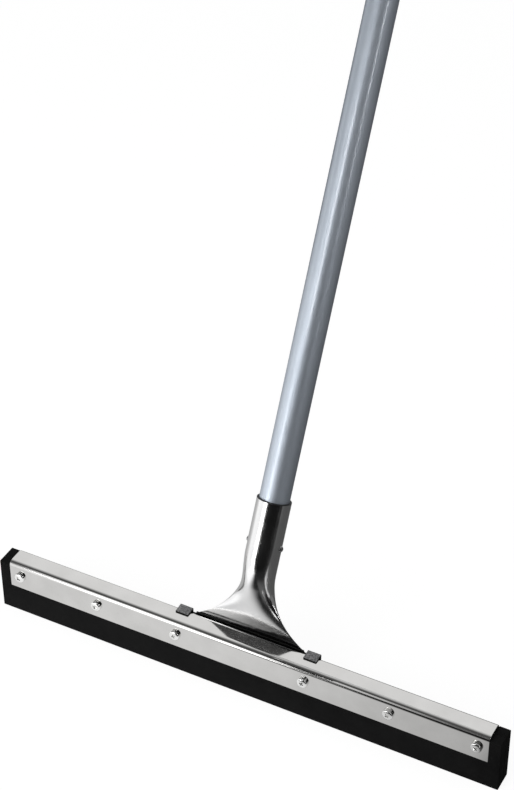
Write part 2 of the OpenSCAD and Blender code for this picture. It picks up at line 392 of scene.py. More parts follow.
# Material helpers
class Tree:
    """The nodes of a material or a world, with short calls to add and join them."""

    def __init__(self, owner, shader="Principled BSDF"):
        owner.use_nodes = True
        self.owner = owner
        self.nodes = owner.node_tree.nodes
        self.links = owner.node_tree.links
        self.shader = self.nodes[shader]

    def add(self, kind, settings=None, **inputs):
        """A node with its settings, and its inputs set to values or joined to outputs."""
        made = self.nodes.new(kind)
        for key, value in (settings or {}).items():
            setattr(made, key, value)
        for key, value in inputs.items():
            self.put(made, key, value)
        return made

    def put(self, made, key, value):
        """Sets or joins an input: its key is its name with _ for a blank, or i and its number."""
        numbered = key[0] == "i" and key[1:].isdigit()
        socket = made.inputs[int(key[1:]) if numbered else key.replace("_", " ")]
        if isinstance(value, bpy.types.NodeSocket):
            self.links.new(value, socket)
        else:
            socket.default_value = value

    def place(self):
        """Where a point lies on its piece."""
        return self.add("ShaderNodeTexCoord").outputs["Object"]

    def world_place(self):
        """Where a point lies in the world."""
        return self.add("ShaderNodeNewGeometry").outputs["Position"]

    def world_axis(self, axis):
        """Where a point lies along an axis of the world."""
        return self.add("ShaderNodeSeparateXYZ", Vector=self.world_place()).outputs[axis]

    def along(self, direction, start):
        """How far a point lies along a direction past a start, in millimetres."""
        scaled = tuple(Vector(direction) / MM)
        reach = self.add("ShaderNodeVectorMath", {"operation": "DOT_PRODUCT"}, i0=self.place(), i1=scaled)
        return self.maths("SUBTRACT", reach.outputs["Value"], start)

    def noise(self, scale, detail, roughness=0.55):
        """Noise over the piece: scale is in features a metre, one number or one for each axis."""
        scales = scale if isinstance(scale, tuple) else (scale,) * 3
        mapped = self.add("ShaderNodeMapping", Vector=self.place(), Scale=scales)
        return self.add("ShaderNodeTexNoise", Vector=mapped.outputs["Vector"], Scale=1.0, Detail=detail,
                        Roughness=roughness).outputs["Fac"]

    def maths(self, operation, a, b):
        """The result of an operation on two values."""
        return self.add("ShaderNodeMath", {"operation": operation}, i0=a, i1=b).outputs["Value"]

    def span(self, value, low, high, start=0.3, end=0.7, kind="LINEAR"):
        """A value between start and end made into one between low and high."""
        return self.add("ShaderNodeMapRange", {"interpolation_type": kind}, Value=value, From_Min=start,
                        From_Max=end, To_Min=low, To_Max=high).outputs["Result"]

    def smooth(self, value, low, high, start, end):
        """A span that starts and ends gently."""
        return self.span(value, low, high, start, end, "SMOOTHSTEP")

    def tint(self, value, low, high, start=0.3, end=0.7):
        """A colour between low and high by a value."""
        ramp = self.add("ShaderNodeValToRGB", Fac=value)
        for element, position, colour in zip(ramp.color_ramp.elements, (start, end), (low, high)):
            element.position = position
            element.color = (*colour, 1)
        return ramp.outputs["Color"]

    def blend(self, share, low, high, kind="MIX"):
        """A colour mixed of two others by a share, or another kind of blend of them."""
        made = self.add("ShaderNodeMix", {"data_type": "RGBA", "blend_type": kind}, Factor=share)
        for key, colour in (("A", low), ("B", high)):
            self.put(made, key, (*colour, 1) if isinstance(colour, tuple) else colour)
        return made.outputs["Result"]

    def bump(self, height, depth, under=None):
        """A normal from a height between 0 and 1 that stands for a depth in millimetres."""
        made = self.add("ShaderNodeBump", Height=height, Strength=1.0, Distance=depth * MM)
        if under is not None:
            self.put(made, "Normal", under)
        return made.outputs["Normal"]

    def glow(self, strength):
        """A white light of a strength."""
        return self.add("ShaderNodeEmission", Strength=strength).outputs["Emission"]

    def set(self, **inputs):
        """Sets or joins the shader's inputs."""
        for key, value in inputs.items():
            self.put(self.shader, key, value)
        return self.owner

    def show(self, shader):
        """Shows another shader in place of the first one."""
        self.links.new(shader, self.nodes["Material Output"].inputs["Surface"])
        return self.owner


def material_tree(name):
    """The nodes of a new material."""
    return Tree(bpy.data.materials.new(name))


def grey(value):
    """A colour without a hue."""
    return (value, value, value)


# Materials
def channel_steel():
    """Bright rolled sheet with a fine grain along the channel and a faint haze."""
    tree = material_tree("channel_steel")
    grain = tree.noise((25, 1400, 1400), detail=4)
    haze = tree.noise(45, detail=3)
    rough = tree.maths("ADD", tree.span(grain, 0.05, 0.09), tree.span(haze, 0.0, 0.05))
    colour = tree.tint(haze, (0.60, 0.595, 0.585), (0.66, 0.655, 0.645))
    sheet_wave = tree.bump(tree.noise(28, detail=1), 0.02)
    return tree.set(Base_Color=colour, Metallic=1.0, Roughness=rough,
                    Normal=tree.bump(grain, 0.0006, under=sheet_wave))


def socket_chrome():
    """Polished plating with hazy patches and a faint wave; a painted shade darkens a band along the fan's
    base, and a painted dark reflection darkens the mouth's rim.
    """
    shade_slope = 0.13
    shade_ragged = 0.6
    shade_low, shade_high = 2.6, 4.2
    shaded_rim_low, shaded_rim_high = SOCKET_LEN - 0.8, SOCKET_LEN - 0.5
    tree = material_tree("socket_chrome")
    haze = tree.noise(70, detail=4)
    axis_start = AXIS_Y * math.sin(TILT) + AXIS_Z * math.cos(TILT)
    up_handle = tree.along((0, math.sin(TILT), math.cos(TILT)), axis_start)
    # Painted dark reflection on the mouth's rim, which is also made rougher
    shaded_rim = tree.span(up_handle, 0.0, 1.0, shaded_rim_low, shaded_rim_high)
    # Painted shade: a dark band with a ragged edge along the fan's base, just above the channel
    ragged = tree.span(tree.noise(160, detail=4), -shade_ragged, shade_ragged)
    up_base = tree.maths("ADD", tree.along((-shade_slope, 0, 1), CHANNEL_TOP), ragged)
    base_shade = tree.span(up_base, 1.0, 0.0, shade_low, shade_high)
    plating = tree.tint(haze, (0.74, 0.74, 0.745), (0.80, 0.80, 0.80))
    shaded_plating = tree.blend(base_shade, plating, (0.07, 0.07, 0.072))
    colour = tree.blend(shaded_rim, shaded_plating, (0.05, 0.05, 0.052))
    rough = tree.maths("ADD", tree.span(haze, 0.12, 0.19), tree.maths("MULTIPLY", shaded_rim, 0.25))
    wave = tree.bump(tree.noise(55, detail=1), 0.015)
    return tree.set(Base_Color=colour, Metallic=1.0, Roughness=rough, Normal=wave)


def fastener_steel():
    """Bright plating, a little worn."""
    tree = material_tree("fastener_steel")
    wear = tree.noise(420, detail=4)
    colour = tree.tint(wear, (0.80, 0.80, 0.79), (0.93, 0.93, 0.92))
    rough = tree.span(wear, 0.10, 0.20)
    return tree.set(Base_Color=colour, Metallic=1.0, Roughness=rough,
                    Normal=tree.bump(tree.noise(900, detail=2), 0.008))


def plate_steel():
    """Steel with mottled brighter metal on the tabs' tops; below them it is painted near black, a painted
    shade for the gap behind the channel and the tabs' edges.
    """
    tree = material_tree("plate_steel")
    mottle = tree.noise(900, detail=5, roughness=0.7)
    top_mottle = tree.tint(mottle, (0.05, 0.05, 0.052), (0.34, 0.34, 0.345), 0.35, 0.68)
    top = tree.span(tree.along((0, 0, 1), CHANNEL_TOP + PLATE_T), 0.0, 1.0, -0.12, -0.02)
    # Below the tabs' tops the plate is painted near black: a painted shade
    colour = tree.blend(top, tree.tint(mottle, grey(0.008), grey(0.02)), top_mottle)
    rough = tree.span(mottle, 0.55, 0.32)
    return tree.set(Base_Color=colour, Metallic=0.75, Roughness=rough, Normal=tree.bump(mottle, 0.03))


def foam_rubber():
    """Matte black cellular rubber with a fine pored skin."""
    tree = material_tree("foam_rubber")
    cloud = tree.noise(60, detail=4)
    pores = tree.noise(2200, detail=3, roughness=0.65)
    colour = tree.tint(cloud, (0.0045, 0.0045, 0.0047), (0.009, 0.009, 0.009))
    rough = tree.span(pores, 0.72, 0.95)
    skin_wave = tree.bump(tree.noise(180, detail=2), 0.05)
    return tree.set(Base_Color=colour, Roughness=rough, Specular_IOR_Level=0.12,
                    Normal=tree.bump(pores, 0.05, under=skin_wave))


def handle_paint():
    """Satin silver-grey lacquer with fine flakes and a slight orange peel."""
    tree = material_tree("handle_paint")
    flake = tree.noise(3200, detail=2)
    cloud = tree.noise(30, detail=3)
    silver = tree.tint(cloud, (0.66, 0.73, 0.82), (0.71, 0.78, 0.87))
    colour = tree.blend(1.0, silver, tree.tint(flake, grey(0.9), grey(1.0)), "MULTIPLY")
    rough = tree.span(flake, 0.46, 0.52)
    return tree.set(Base_Color=colour, Metallic=0.86, Roughness=rough, Specular_Tint=(0.35, 0.38, 0.42, 1),
                    Coat_Weight=0.9, Coat_Roughness=0.1,
                    Normal=tree.bump(tree.noise(700, detail=2), 0.0015))


def spring_steel():
    """Blued strip with rolling marks."""
    tree = material_tree("spring_steel")
    marks = tree.noise((300, 2500, 300), detail=4)
    colour = tree.tint(marks, (0.10, 0.11, 0.14), (0.24, 0.26, 0.30))
    return tree.set(Base_Color=colour, Metallic=1.0, Roughness=tree.span(marks, 0.28, 0.42),
                    Normal=tree.bump(marks, 0.01))


def button_chrome():
    """Polished peg with fine turning marks, its colour darkened as a painted dark reflection."""
    tree = material_tree("button_chrome")
    marks = tree.noise(1600, detail=3)
    colour = tree.tint(marks, (0.26, 0.26, 0.265), (0.38, 0.38, 0.385))
    return tree.set(Base_Color=colour, Metallic=1.0, Roughness=tree.span(marks, 0.08, 0.16),
                    Normal=tree.bump(marks, 0.003))


def cap_plastic():
    """Moulded black plastic with a fine grain and rubbed patches."""
    tree = material_tree("cap_plastic")
    grain = tree.noise(1500, detail=3)
    rubbed = tree.noise(70, detail=3)
    colour = tree.tint(rubbed, (0.018, 0.018, 0.02), (0.034, 0.034, 0.037))
    return tree.set(Base_Color=colour, Roughness=tree.span(rubbed, 0.55, 0.40),
                    Normal=tree.bump(grain, 0.03))


# Channel
def make_channel(material):
    """The folded sheet: a round back fold, a flatter front fold, and the screws' holes."""
    lip = 0.4
    end_edge = 0.3
    half, low, top = CHANNEL_BACK, CHANNEL_LOW, CHANNEL_TOP
    front_inside = tuple(reach - SHEET for reach in reversed(FRONT_FOLD))
    outline = rounded_outline([
        (half, low, lip),
        (half, top, FOLD_R),
        (-half, top, FRONT_FOLD),
        (-half, low, lip),
        (-half + SHEET, low, lip),
        (-half + SHEET, top - SHEET, front_inside),
        (half - SHEET, top - SHEET, FOLD_R - SHEET),
        (half - SHEET, low, lip),
    ])
    channel = add_object("channel", *skin(bar_along_x(outline, -CHANNEL_HALF, CHANNEL_HALF, end_edge)))
    hole = add_object("screw_hole", *rod_y(SCREW_HOLE_R, -2 * half, 2 * half))
    holes = copies("screw_holes", hole, [moved(x, 0, SCREW_Z) for x in both_sides(SCREW_XS)])
    combine(channel, holes, "DIFFERENCE")
    finish_piece(channel, "frame_channel", material)


# Rubber
def squeezed(past):
    """1 where the channel holds the rubber, falling to 0 along a round shoulder past its edge."""
    return 1 - math.sqrt(1 - (1 - held(past / SHOULDER)) ** 2)


def strip_outline(x, side):
    """The section of a strip at x: side is 1 at the back and -1 in front."""
    edge = RUBBER_EDGE
    above_edge = 1.0
    above_lip = 0.3
    share = squeezed(abs(x) - CHANNEL_HALF)
    squeeze = SHOULDER * share
    top_edge = mix(edge, CLAMPED_EDGE, share)
    outer = RUBBER_T - edge
    top_out = RUBBER_T - squeeze - top_edge
    rows = [edge + above_edge, CHANNEL_LOW / 2]
    rows += [CHANNEL_LOW - down for down in spread(SHOULDER, 0, SHOULDER_STEPS)]
    rows += [CHANNEL_LOW + above_lip, (CHANNEL_LOW + RUBBER_H) / 2]
    quarter = quarter_turn()
    outline = [(edge * (1 - math.cos(q)), edge * (1 - math.sin(q))) for q in quarter]
    outline += [(outer + edge * math.sin(q), edge * (1 - math.cos(q))) for q in quarter]
    outline += [(RUBBER_T - squeeze * squeezed(CHANNEL_LOW - z), z) for z in rows]
    outline += [(top_out + top_edge * math.cos(q), RUBBER_H - top_edge * (1 - math.sin(q))) for q in quarter]
    outline += [(edge * (1 - math.sin(q)), RUBBER_H - edge * (1 - math.cos(q))) for q in quarter]
    return [Vector((side * y, z)) for y, z in outline]


def make_strip(name, node, side, material):
    """A strip of cellular rubber, pinched by the channel and full outside it."""
    ends = soft_ends(-RUBBER_HALF, RUBBER_HALF, RUBBER_EDGE)
    turn = spread(CHANNEL_HALF, CHANNEL_HALF + SHOULDER, SHOULDER_STEPS)
    middle = len(ends) // 2
    rings = []
    for x, drawn in ends[:middle] + [(x, 0) for x in both_sides(turn)] + ends[middle:]:
        outline = strip_outline(x, side)
        if side < 0:
            outline.reverse()
        rings.append([(x, p.x, p.y) for p in inset(outline, drawn)])
    finish_piece(add_object(name, *skin(rings)), node, material)


# Fasteners
def pan_head_profile():
    """Radius and height of a pan head: an upright side, a round rim and a flat dome."""
    dome_r = 16.0
    rim_r = 1.5
    foot = 0.15
    tip_r = 0.02
    arc_steps = 8
    dome_z = HEAD_H - dome_r
    rim_z = dome_z + math.sqrt((dome_r - rim_r) ** 2 - (HEAD_R - rim_r) ** 2)
    meet = math.atan2(rim_z - dome_z, HEAD_R - rim_r)
    profile = [(HEAD_R - foot, 0.0), (HEAD_R, foot), (HEAD_R, rim_z - SUPPORT)]
    for angle in spread(0, meet, arc_steps):
        profile.append((HEAD_R - rim_r + rim_r * math.cos(angle), rim_z + rim_r * math.sin(angle)))
    for angle in spread(meet, math.pi / 2, arc_steps)[1:]:
        profile.append((max(dome_r * math.cos(angle), tip_r), dome_z + dome_r * math.sin(angle)))
    return profile


def thread_rings(low, high, count):
    """Rings of a thread along Y: a ridge that climbs one pitch a turn."""
    pitch = 0.8
    depth = 0.4
    per_pitch = 7
    rings = []
    for y in spread(low, high, math.ceil((high - low) / pitch * per_pitch)):
        ring = []
        for i, angle in enumerate(full_turn(count)):
            phase = (y / pitch + i / count) % 1
            radius = SCREW_R - depth * abs(2 * phase - 1)
            ring.append((radius * math.cos(angle), y, radius * math.sin(angle)))
        rings.append(ring)
    return rings


def cross_bar(turn):
    """Points and faces of one bar of the cross recess, tapered towards its floor."""
    floor_half = 0.9
    past = 1.0
    wide = CROSS_W / 2
    cosine, sine = math.cos(turn), math.sin(turn)
    rings = []
    for y, half in ((-HEAD_H - past, CROSS_LEN / 2), (-HEAD_H + CROSS_DEEP, floor_half)):
        corners = ((-half, -wide), (half, -wide), (half, wide), (-half, wide))
        rings.append([(x * cosine - z * sine, y, x * sine + z * cosine) for x, z in corners])
    return skin(rings)


def make_screws(material):
    """Six cross-head screws: domed heads with a tapered recess, and threaded ends."""
    count = 40
    run_out = 0.4
    tip_cut = 0.5
    thread_lead = 1.0
    turns = (38, 12, 63, 25, 51, 40)
    length = box_mm("clamp_screws")[1].y + CHANNEL_BACK
    thread_low = 2 * CHANNEL_BACK - thread_lead
    rings = revolve_y([(r, -h) for r, h in reversed(pan_head_profile())], count)
    rings += revolve_y([(SCREW_R, 0.0), (SCREW_R, thread_low - run_out)], count)
    rings += thread_rings(thread_low, length - run_out, count)
    rings += revolve_y([(SCREW_R - tip_cut, length)], count)
    screw = add_object("screw", *skin(rings))
    for turn in (0, math.pi / 2):
        combine(screw, add_object("cross", *cross_bar(turn)), "DIFFERENCE")
    spots = zip(both_sides(SCREW_XS), turns)
    screws = copies("screws", screw, [moved(x, -CHANNEL_BACK, SCREW_Z) @ spun(turn) for x, turn in spots])
    finish_piece(screws, "clamp_screws", material, sharp=32)


def seats():
    """Where the washers sit: the two middle ones on the plate, the others on the channel."""
    return [(x, PLATE_BACK if abs(x) == SCREW_MID_X else CHANNEL_BACK) for x in both_sides(SCREW_XS)]


def make_washers(material):
    """Six washers with softened edges."""
    count = 56
    edge = 0.15
    bore, rim, thick = SCREW_HOLE_R, WASHER_R, WASHER_T
    rings = revolve_y([
        (bore + edge, 0), (rim - edge, 0), (rim, edge), (rim, thick - edge),
        (rim - edge, thick), (bore + edge, thick), (bore, thick - edge), (bore, edge),
    ], count)
    washer = add_object("washer", *skin(rings, looped=True))
    washers = copies("washers", washer, [moved(x, y, SCREW_Z) for x, y in seats()])
    finish_piece(washers, "clamp_washers", material, sharp=30)


def nut_ring(y, count):
    """The outline of a nut at y: a hexagon cut back by a chamfer at both faces."""
    face_share = 0.95
    chamfer_slope = 1.9
    cone = NUT_AF / 2 * face_share + chamfer_slope * min(y, NUT_H - y)
    ring = []
    for angle in full_turn(count):
        flat = NUT_AF / 2 / math.cos((angle + math.pi / 6) % (math.pi / 3) - math.pi / 6)
        radius = min(flat, cone)
        ring.append((radius * math.cos(angle), y, radius * math.sin(angle)))
    return ring


def make_nuts(material):
    """Six hexagon nuts with chamfered corners and countersunk bores."""
    count = 72
    sink = 0.35
    chamfer_rows = (0, 0.08, 0.16, 0.24, 0.32, 0.42)
    turns = (8, 41, 22, 55, 3, 30)
    rings = revolve_y([(SCREW_R + sink, 0)], count)
    rings += [nut_ring(y, count) for y in chamfer_rows]
    rings += [nut_ring(NUT_H - y, count) for y in reversed(chamfer_rows)]
    rings += revolve_y([(SCREW_R + sink, NUT_H), (SCREW_R, NUT_H - sink), (SCREW_R, sink)], count)
    nut = add_object("nut", *skin(rings, looped=True))
    spots = zip(seats(), turns)
    nuts = copies("nuts", nut, [moved(x, y + WASHER_T, SCREW_Z) @ spun(turn) for (x, y), turn in spots])
    finish_piece(nuts, "clamp_nuts", material, sharp=25)


# Back plate
def make_plate(material):
    """The plate behind the channel, with its two tabs folded over the channel's top."""
    edge = 0.25
    sheet_r = 0.3
    foot_r = 2.0
    flange_lap = 0.3
    half = SCREW_MID_X + TAB_W / 2
    low, high = CHANNEL_TOP - PLATE_H, CHANNEL_TOP
    notch = high - NOTCH_DEEP
    inner = FLANGE_HALF - flange_lap
    slab = rounded_outline([
        (-half, low, foot_r), (half, low, foot_r), (half, notch, sheet_r), (inner, notch, sheet_r),
        (inner, high, sheet_r), (-inner, high, sheet_r), (-inner, notch, sheet_r), (-half, notch, sheet_r),
    ])
    plate = add_object("plate", *skin(plate_along_y(slab, CHANNEL_BACK, PLATE_BACK, edge)))
    top = CHANNEL_TOP + PLATE_T
    tab = rounded_outline([
        (CHANNEL_BACK, SCREW_Z, sheet_r),
        (PLATE_BACK, SCREW_Z, sheet_r),
        (PLATE_BACK + TAB_BULGE, top + TAB_BULGE, TAB_FOLD_R + PLATE_T),
        (CHANNEL_BACK - TAB_REACH, top, sheet_r),
        (CHANNEL_BACK - TAB_REACH, CHANNEL_TOP, sheet_r),
        (CHANNEL_BACK, CHANNEL_TOP, TAB_FOLD_R),
    ])
    middle_screws = both_sides((SCREW_MID_X,))
    for x in middle_screws:
        folded = add_object("tab", *skin(bar_along_x(tab, x - TAB_W / 2, x + TAB_W / 2, edge)))
        combine(plate, folded, "UNION")
    for x in middle_screws:
        hole = add_object("plate_hole", *rod_y(SCREW_HOLE_R, 0, 2 * PLATE_BACK))
        hole.matrix_world = moved(x, 0, SCREW_Z)
        combine(plate, hole, "DIFFERENCE")
    finish_piece(plate, "back_plate", material, sharp=30)


# Places up the fan, where u is 0 at the channel's top and 1 at the end of the bend
def curve3(a, b, c, t):
    """A number on a curve from a to c that is drawn towards b."""
    return mix(mix(a, b, t), mix(b, c, t), t)


def fan_half(u):
    """Half the fan's width, which flares towards its base."""
    left = max(1 - u * FAN_PATH / FLARE_LEN, 0) / (1 - FAN_LOW_U * FAN_PATH / FLARE_LEN)
    return SOCKET_R + (FLANGE_HALF - SOCKET_R) * left ** FLARE_POWER


def fan_depth(u):
    """Half the fan's thickness, from the flat flange to the round neck."""
    return FLANGE_T / 2 + (SOCKET_R - FLANGE_T / 2) * ease(max(u, 0) ** SWELL_POWER)


def fan_lean(u):
    """How far the fan's section leans."""
    return TILT * ease(max(u, 0))


def fan_front(u):
    """The fan's front line: straight up, then round the corner onto the tube's front."""
    def straight_y(z):
        return PLATE_BACK + FAN_BACK * max(z - CHANNEL_TOP, 0) / FAN_RISE

    if u < FAN_BEND_U:
        z = mix(CHANNEL_TOP, STRAIGHT_Z, u / FAN_BEND_U)
        return straight_y(z), z
    t = (u - FAN_BEND_U) / (1 - FAN_BEND_U)
    y = curve3(straight_y(STRAIGHT_Z), CORNER_Y, BEND_END_Y, t)
    return y, curve3(STRAIGHT_Z, CORNER_Z, BEND_END_Z, t)


def fan_flatness(u):
    """The front half's depth, as a share of the oval's: pressed flat at the base, a plain oval higher up."""
    return mix(FAN_FLAT, 1.0, ease(held(u / FAN_FLAT_U)))


def signed_power(value, power):
    """The power of a value's size, with the value's sign."""
    return math.copysign(abs(value) ** power, value)


def oval(half, depth, fullness, count):
    """Points (x, across) of an oval."""
    power = 2 / fullness
    return [(half * signed_power(math.cos(t), power), depth * signed_power(math.sin(t), power))
            for t in full_turn(count)]


def fan_ring(u, drawn, count, drop=0.0, fullness=ELLIPSE, flat=None):
    """A ring of the fan at a share u of its way up, drawn in, and lowered by drop."""
    depth = fan_depth(u)
    lean = fan_lean(u)
    front_y, front_z = fan_front(u)
    centre_y = front_y + depth * math.cos(lean)
    centre_z = front_z - depth * math.sin(lean) - drop
    thick = depth - drawn
    flat = flat or fan_flatness(u)
    half = fan_half(u) - drawn
    pinch = 1 - LEFT_PINCH * math.sin(math.pi * held(u)) / half
    ring = []
    for x, across in oval(half, thick, fullness, count):
        x *= pinch if x < 0 else 1
        across = thick * (flat - 1) + across * (flat if across < 0 else 2 - flat)
        ring.append((x, centre_y + across * math.cos(lean), centre_z - across * math.sin(lean)))
    return ring


# Places up the handle's axis, where s is in millimetres from the end of the bend
def on_axis(x, across, s):
    """A point beside the handle's axis."""
    y, z = AXIS_Y + s * math.sin(TILT), AXIS_Z + s * math.cos(TILT)
    return x, y + across * math.cos(TILT), z - across * math.sin(TILT)


def handle_rings(profile, count):
    """Rings about the handle's axis through (radius, s) points."""
    return [[on_axis(radius * math.cos(t), radius * math.sin(t), s) for t in full_turn(count)]
            for radius, s in profile]


def button_hole(radius=BUTTON_HOLE_R):
    """A rod through both buttons' holes, square to the handle."""
    count = 40
    rod = [[(x, p.x, p.y) for p in circle(radius, count)] for x in (-2 * TUBE_R, 2 * TUBE_R)]
    hole = add_object("button_hole", *skin(rod))
    hole.matrix_world = moved(*on_axis(0, 0, BUTTON_S)) @ Matrix.Rotation(-TILT, 4, "X")
    return hole


# Socket
def flange_rings(count):
    """The flat flange, from its softened foot to where its section turns into the fan's."""
    # How far the foot's rings are drawn in, and how far up they are
    foot = ((0.6, 0.0), (0.2, 0.2), (0.0, 0.6))
    turn_low, turn_high = 5.0, 0.5
    turn_steps = 5
    rows = [(drawn, FLANGE_H - up) for drawn, up in foot]
    rows += [(0, FLANGE_H / 2), (0, turn_low)]
    rings = [fan_ring(FAN_LOW_U, drawn, count, drop, BOXY, 1.0) for drawn, drop in rows]
    for share in spread(0, 1, turn_steps)[1:]:
        drop = mix(turn_low, turn_high, share)
        fullness = mix(BOXY, ELLIPSE, ease(share))
        rings.append(fan_ring(FAN_LOW_U, 0, count, drop, fullness, mix(1.0, FAN_FLAT, ease(share))))
    return rings


def mouth_profile():
    """The neck's outside, its rolled mouth and its bore, as (radius, s) points."""
    rim = 0.35
    neck_steps, bore_steps = 16, 8
    straight = SOCKET_LEN - rim - SUPPORT
    outside = [(SOCKET_R, s) for s in spread(0, straight, neck_steps)]
    bore = [(SOCKET_BORE_R, s) for s in spread(straight, 0, bore_steps)]
    roll = [(rim * (1 - math.cos(q)), rim * (1 - math.sin(q))) for q in quarter_turn()]
    mouth = [(SOCKET_R - drawn, SOCKET_LEN - down) for drawn, down in roll]
    mouth += [(SOCKET_BORE_R + drawn, SOCKET_LEN - down) for down, drawn in roll]
    return outside + mouth + bore


def make_socket(material):
    """The fishtail socket: flat flange, fan, round neck, rolled mouth and hollow inside."""
    count = 144
    fan_steps, hollow_steps = 72, 24
    rings = flange_rings(count)
    rings += [fan_ring(u, 0, count) for u in spread(FAN_LOW_U, 1, fan_steps)[:-1]]
    rings += handle_rings(mouth_profile(), count)
    for u in spread(1, HOLLOW_U, hollow_steps)[1:]:
        rings.append(fan_ring(u, min(SOCKET_WALL, HOLLOW_WALL * fan_depth(u)), count))
    socket = add_object("socket", *skin(rings))
    combine(socket, button_hole(), "DIFFERENCE")
    finish_piece(socket, "handle_socket", material)


# Handle
def make_tube(material):
    """The handle's tube, with rounded ends and the buttons' holes."""
    count = 128
    edge = 0.25
    length_steps = 12
    inner = TUBE_R - TUBE_WALL
    low, high = TUBE_STOP, TUBE_STOP + TUBE_LEN
    # Rows clear of the buttons' holes and of the upper end
    below_hole, above_hole = BUTTON_S - 5, BUTTON_S + 8
    below_end = high - 2
    profile = [
        (inner + edge, low), (TUBE_R - edge, low), (TUBE_R, low + edge), (TUBE_R, low + edge + SUPPORT),
        (TUBE_R, below_hole), (TUBE_R, above_hole),
    ]
    profile += [(TUBE_R, s) for s in spread(SOCKET_LEN, below_end, length_steps)]
    profile += [
        (TUBE_R, high - edge), (TUBE_R - edge, high), (inner + edge, high), (inner, high - edge),
        (inner, below_end), (inner, above_hole), (inner, below_hole), (inner, low + edge),
    ]
    tube = add_object("tube", *skin(handle_rings(profile, count), looped=True))
    combine(tube, button_hole(), "DIFFERENCE")
    finish_piece(tube, "handle_tube", material)


def clip_ring(side, x, s, turn):
    """The clip's section, with its outside turned from the side towards the top."""
    edge = 0.12
    thick, wide = CLIP_T / 2, CLIP_W / 2
    first_half = [(thick, edge - wide), (thick, wide - edge), (thick - edge, wide), (edge - thick, wide)]
    corners = first_half + [(-out, -across) for out, across in first_half]
    ring = [on_axis(side * (x + out * math.cos(turn)), across, s + out * math.sin(turn))
            for out, across in corners]
    return ring if side > 0 else ring[::-1]


def make_clip_half(name, side, material):
    """Half of the U spring, from its arm at the button round to its bow."""
    arm_steps, bow_steps = 32, 18
    bow_s = BUTTON_S + CLIP_ARM
    reach = math.sqrt((TUBE_R - TUBE_WALL - CLIP_GAP) ** 2 - (CLIP_W / 2) ** 2) - CLIP_T / 2
    rings = [clip_ring(side, reach, s, 0) for s in spread(BUTTON_S - CLIP_FOOT, bow_s, arm_steps)]
    rings += [clip_ring(side, reach * math.cos(turn), bow_s + reach * math.sin(turn), turn)
              for turn in quarter_turn(bow_steps)[1:]]
    half = add_object(name, *skin(rings))
    combine(half, button_hole(CLIP_HOLE_R), "DIFFERENCE")
    dress(half, material)
    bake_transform(half)
    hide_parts("spring_clip")


def soften_cap(cap):
    """Rounds the hanger cap's edges."""
    edge = 0.8
    bevel = cap.modifiers.new("soft_edges", "BEVEL")
    bevel.width = edge * MM
    bevel.segments = 3
    bevel.limit_method = "ANGLE"
    bevel.angle_limit = math.radians(SHARP_ANGLE)


def build():
    """Makes the pieces, and paints the nodes that are shown as they are."""
    fasteners = fastener_steel()
    rubber = foam_rubber()
    make_channel(channel_steel())
    make_strip("front_strip", "rubber_front", -1, rubber)
    make_strip("back_strip", "rubber_back", 1, rubber)
    make_screws(fasteners)
    make_washers(fasteners)
    make_nuts(fasteners)
    make_plate(plate_steel())
    make_socket(socket_chrome())
    make_tube(handle_paint())
    spring = spring_steel()
    make_clip_half("clip_left", -1, spring)
    make_clip_half("clip_right", 1, spring)
    pegs = button_chrome()
    for node in ("button_left", "button_right"):
        paint(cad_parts[node], pegs)
    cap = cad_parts["hanger_cap"]
    paint(cap, cap_plastic())
    soften_cap(cap)


# Studio, in metres
WORLD_FOR_DIFFUSE = 0.28
FLOOR_HALF = 4.0
WALL_Y = -0.74
LEFT_X, RIGHT_X = -1.7, 1.7
LEFT_BACK, RIGHT_BACK = 0.5, 0.9
CEILING = 1.3
# Cards stand this far off the floor or lie this high on it
STANDING_Z = 0.001
LYING_Z = 0.002


def set_world():
    """White to the camera and in reflections, softer as light."""
    world = bpy.data.worlds.new("studio")
    bpy.context.scene.world = world
    tree = Tree(world, "Background")
    path = tree.add("ShaderNodeLightPath").outputs
    seen = tree.maths("MAXIMUM", path["Is Camera Ray"], path["Is Glossy Ray"])
    seen = tree.maths("MAXIMUM", seen, path["Is Transmission Ray"])
    tree.set(Color=(1, 1, 1, 1), Strength=tree.span(seen, WORLD_FOR_DIFFUSE, 1.0, 0.0, 1.0))


def floor_level(tree):
    """How bright the floor glows in reflections, with painted light and painted shadow: bright on the key's
    side in front, dimmer close to the blade, and a painted shadow behind the blade.
    """
    x, y = tree.world_axis("X"), tree.world_axis("Y")
    head = (0, 0.02, 0)
    reach = tree.add("ShaderNodeVectorMath", {"operation": "DISTANCE"}, i0=tree.world_place(), i1=head)
    # Each line goes from one level to another, between two places in metres
    # Painted light in front: brighter towards the key on the left away from the blade, dimmer close to it,
    # dark at the right
    near = tree.smooth(x, 0.92, 0.6, -0.05, 0.22)
    near = tree.smooth(x, near, 0.1, 0.19, 0.24)
    far = tree.smooth(x, 1.3, 0.012, -0.14, -0.02)
    dim = tree.smooth(x, far, 0.11, 0.02, 0.07)
    far = tree.smooth(reach.outputs["Value"], dim, far, 0.22, 0.36)
    front = tree.smooth(y, near, far, -0.06, -0.135)
    # A painted shadow of the blade on the floor behind it, dimmer at the right
    behind = tree.smooth(x, 0.5, 0.11, -0.1, 0.05)
    behind = tree.smooth(y, behind, 0.08, 0.35, 0.6)
    return tree.smooth(y, front, behind, 0.0, 0.02)


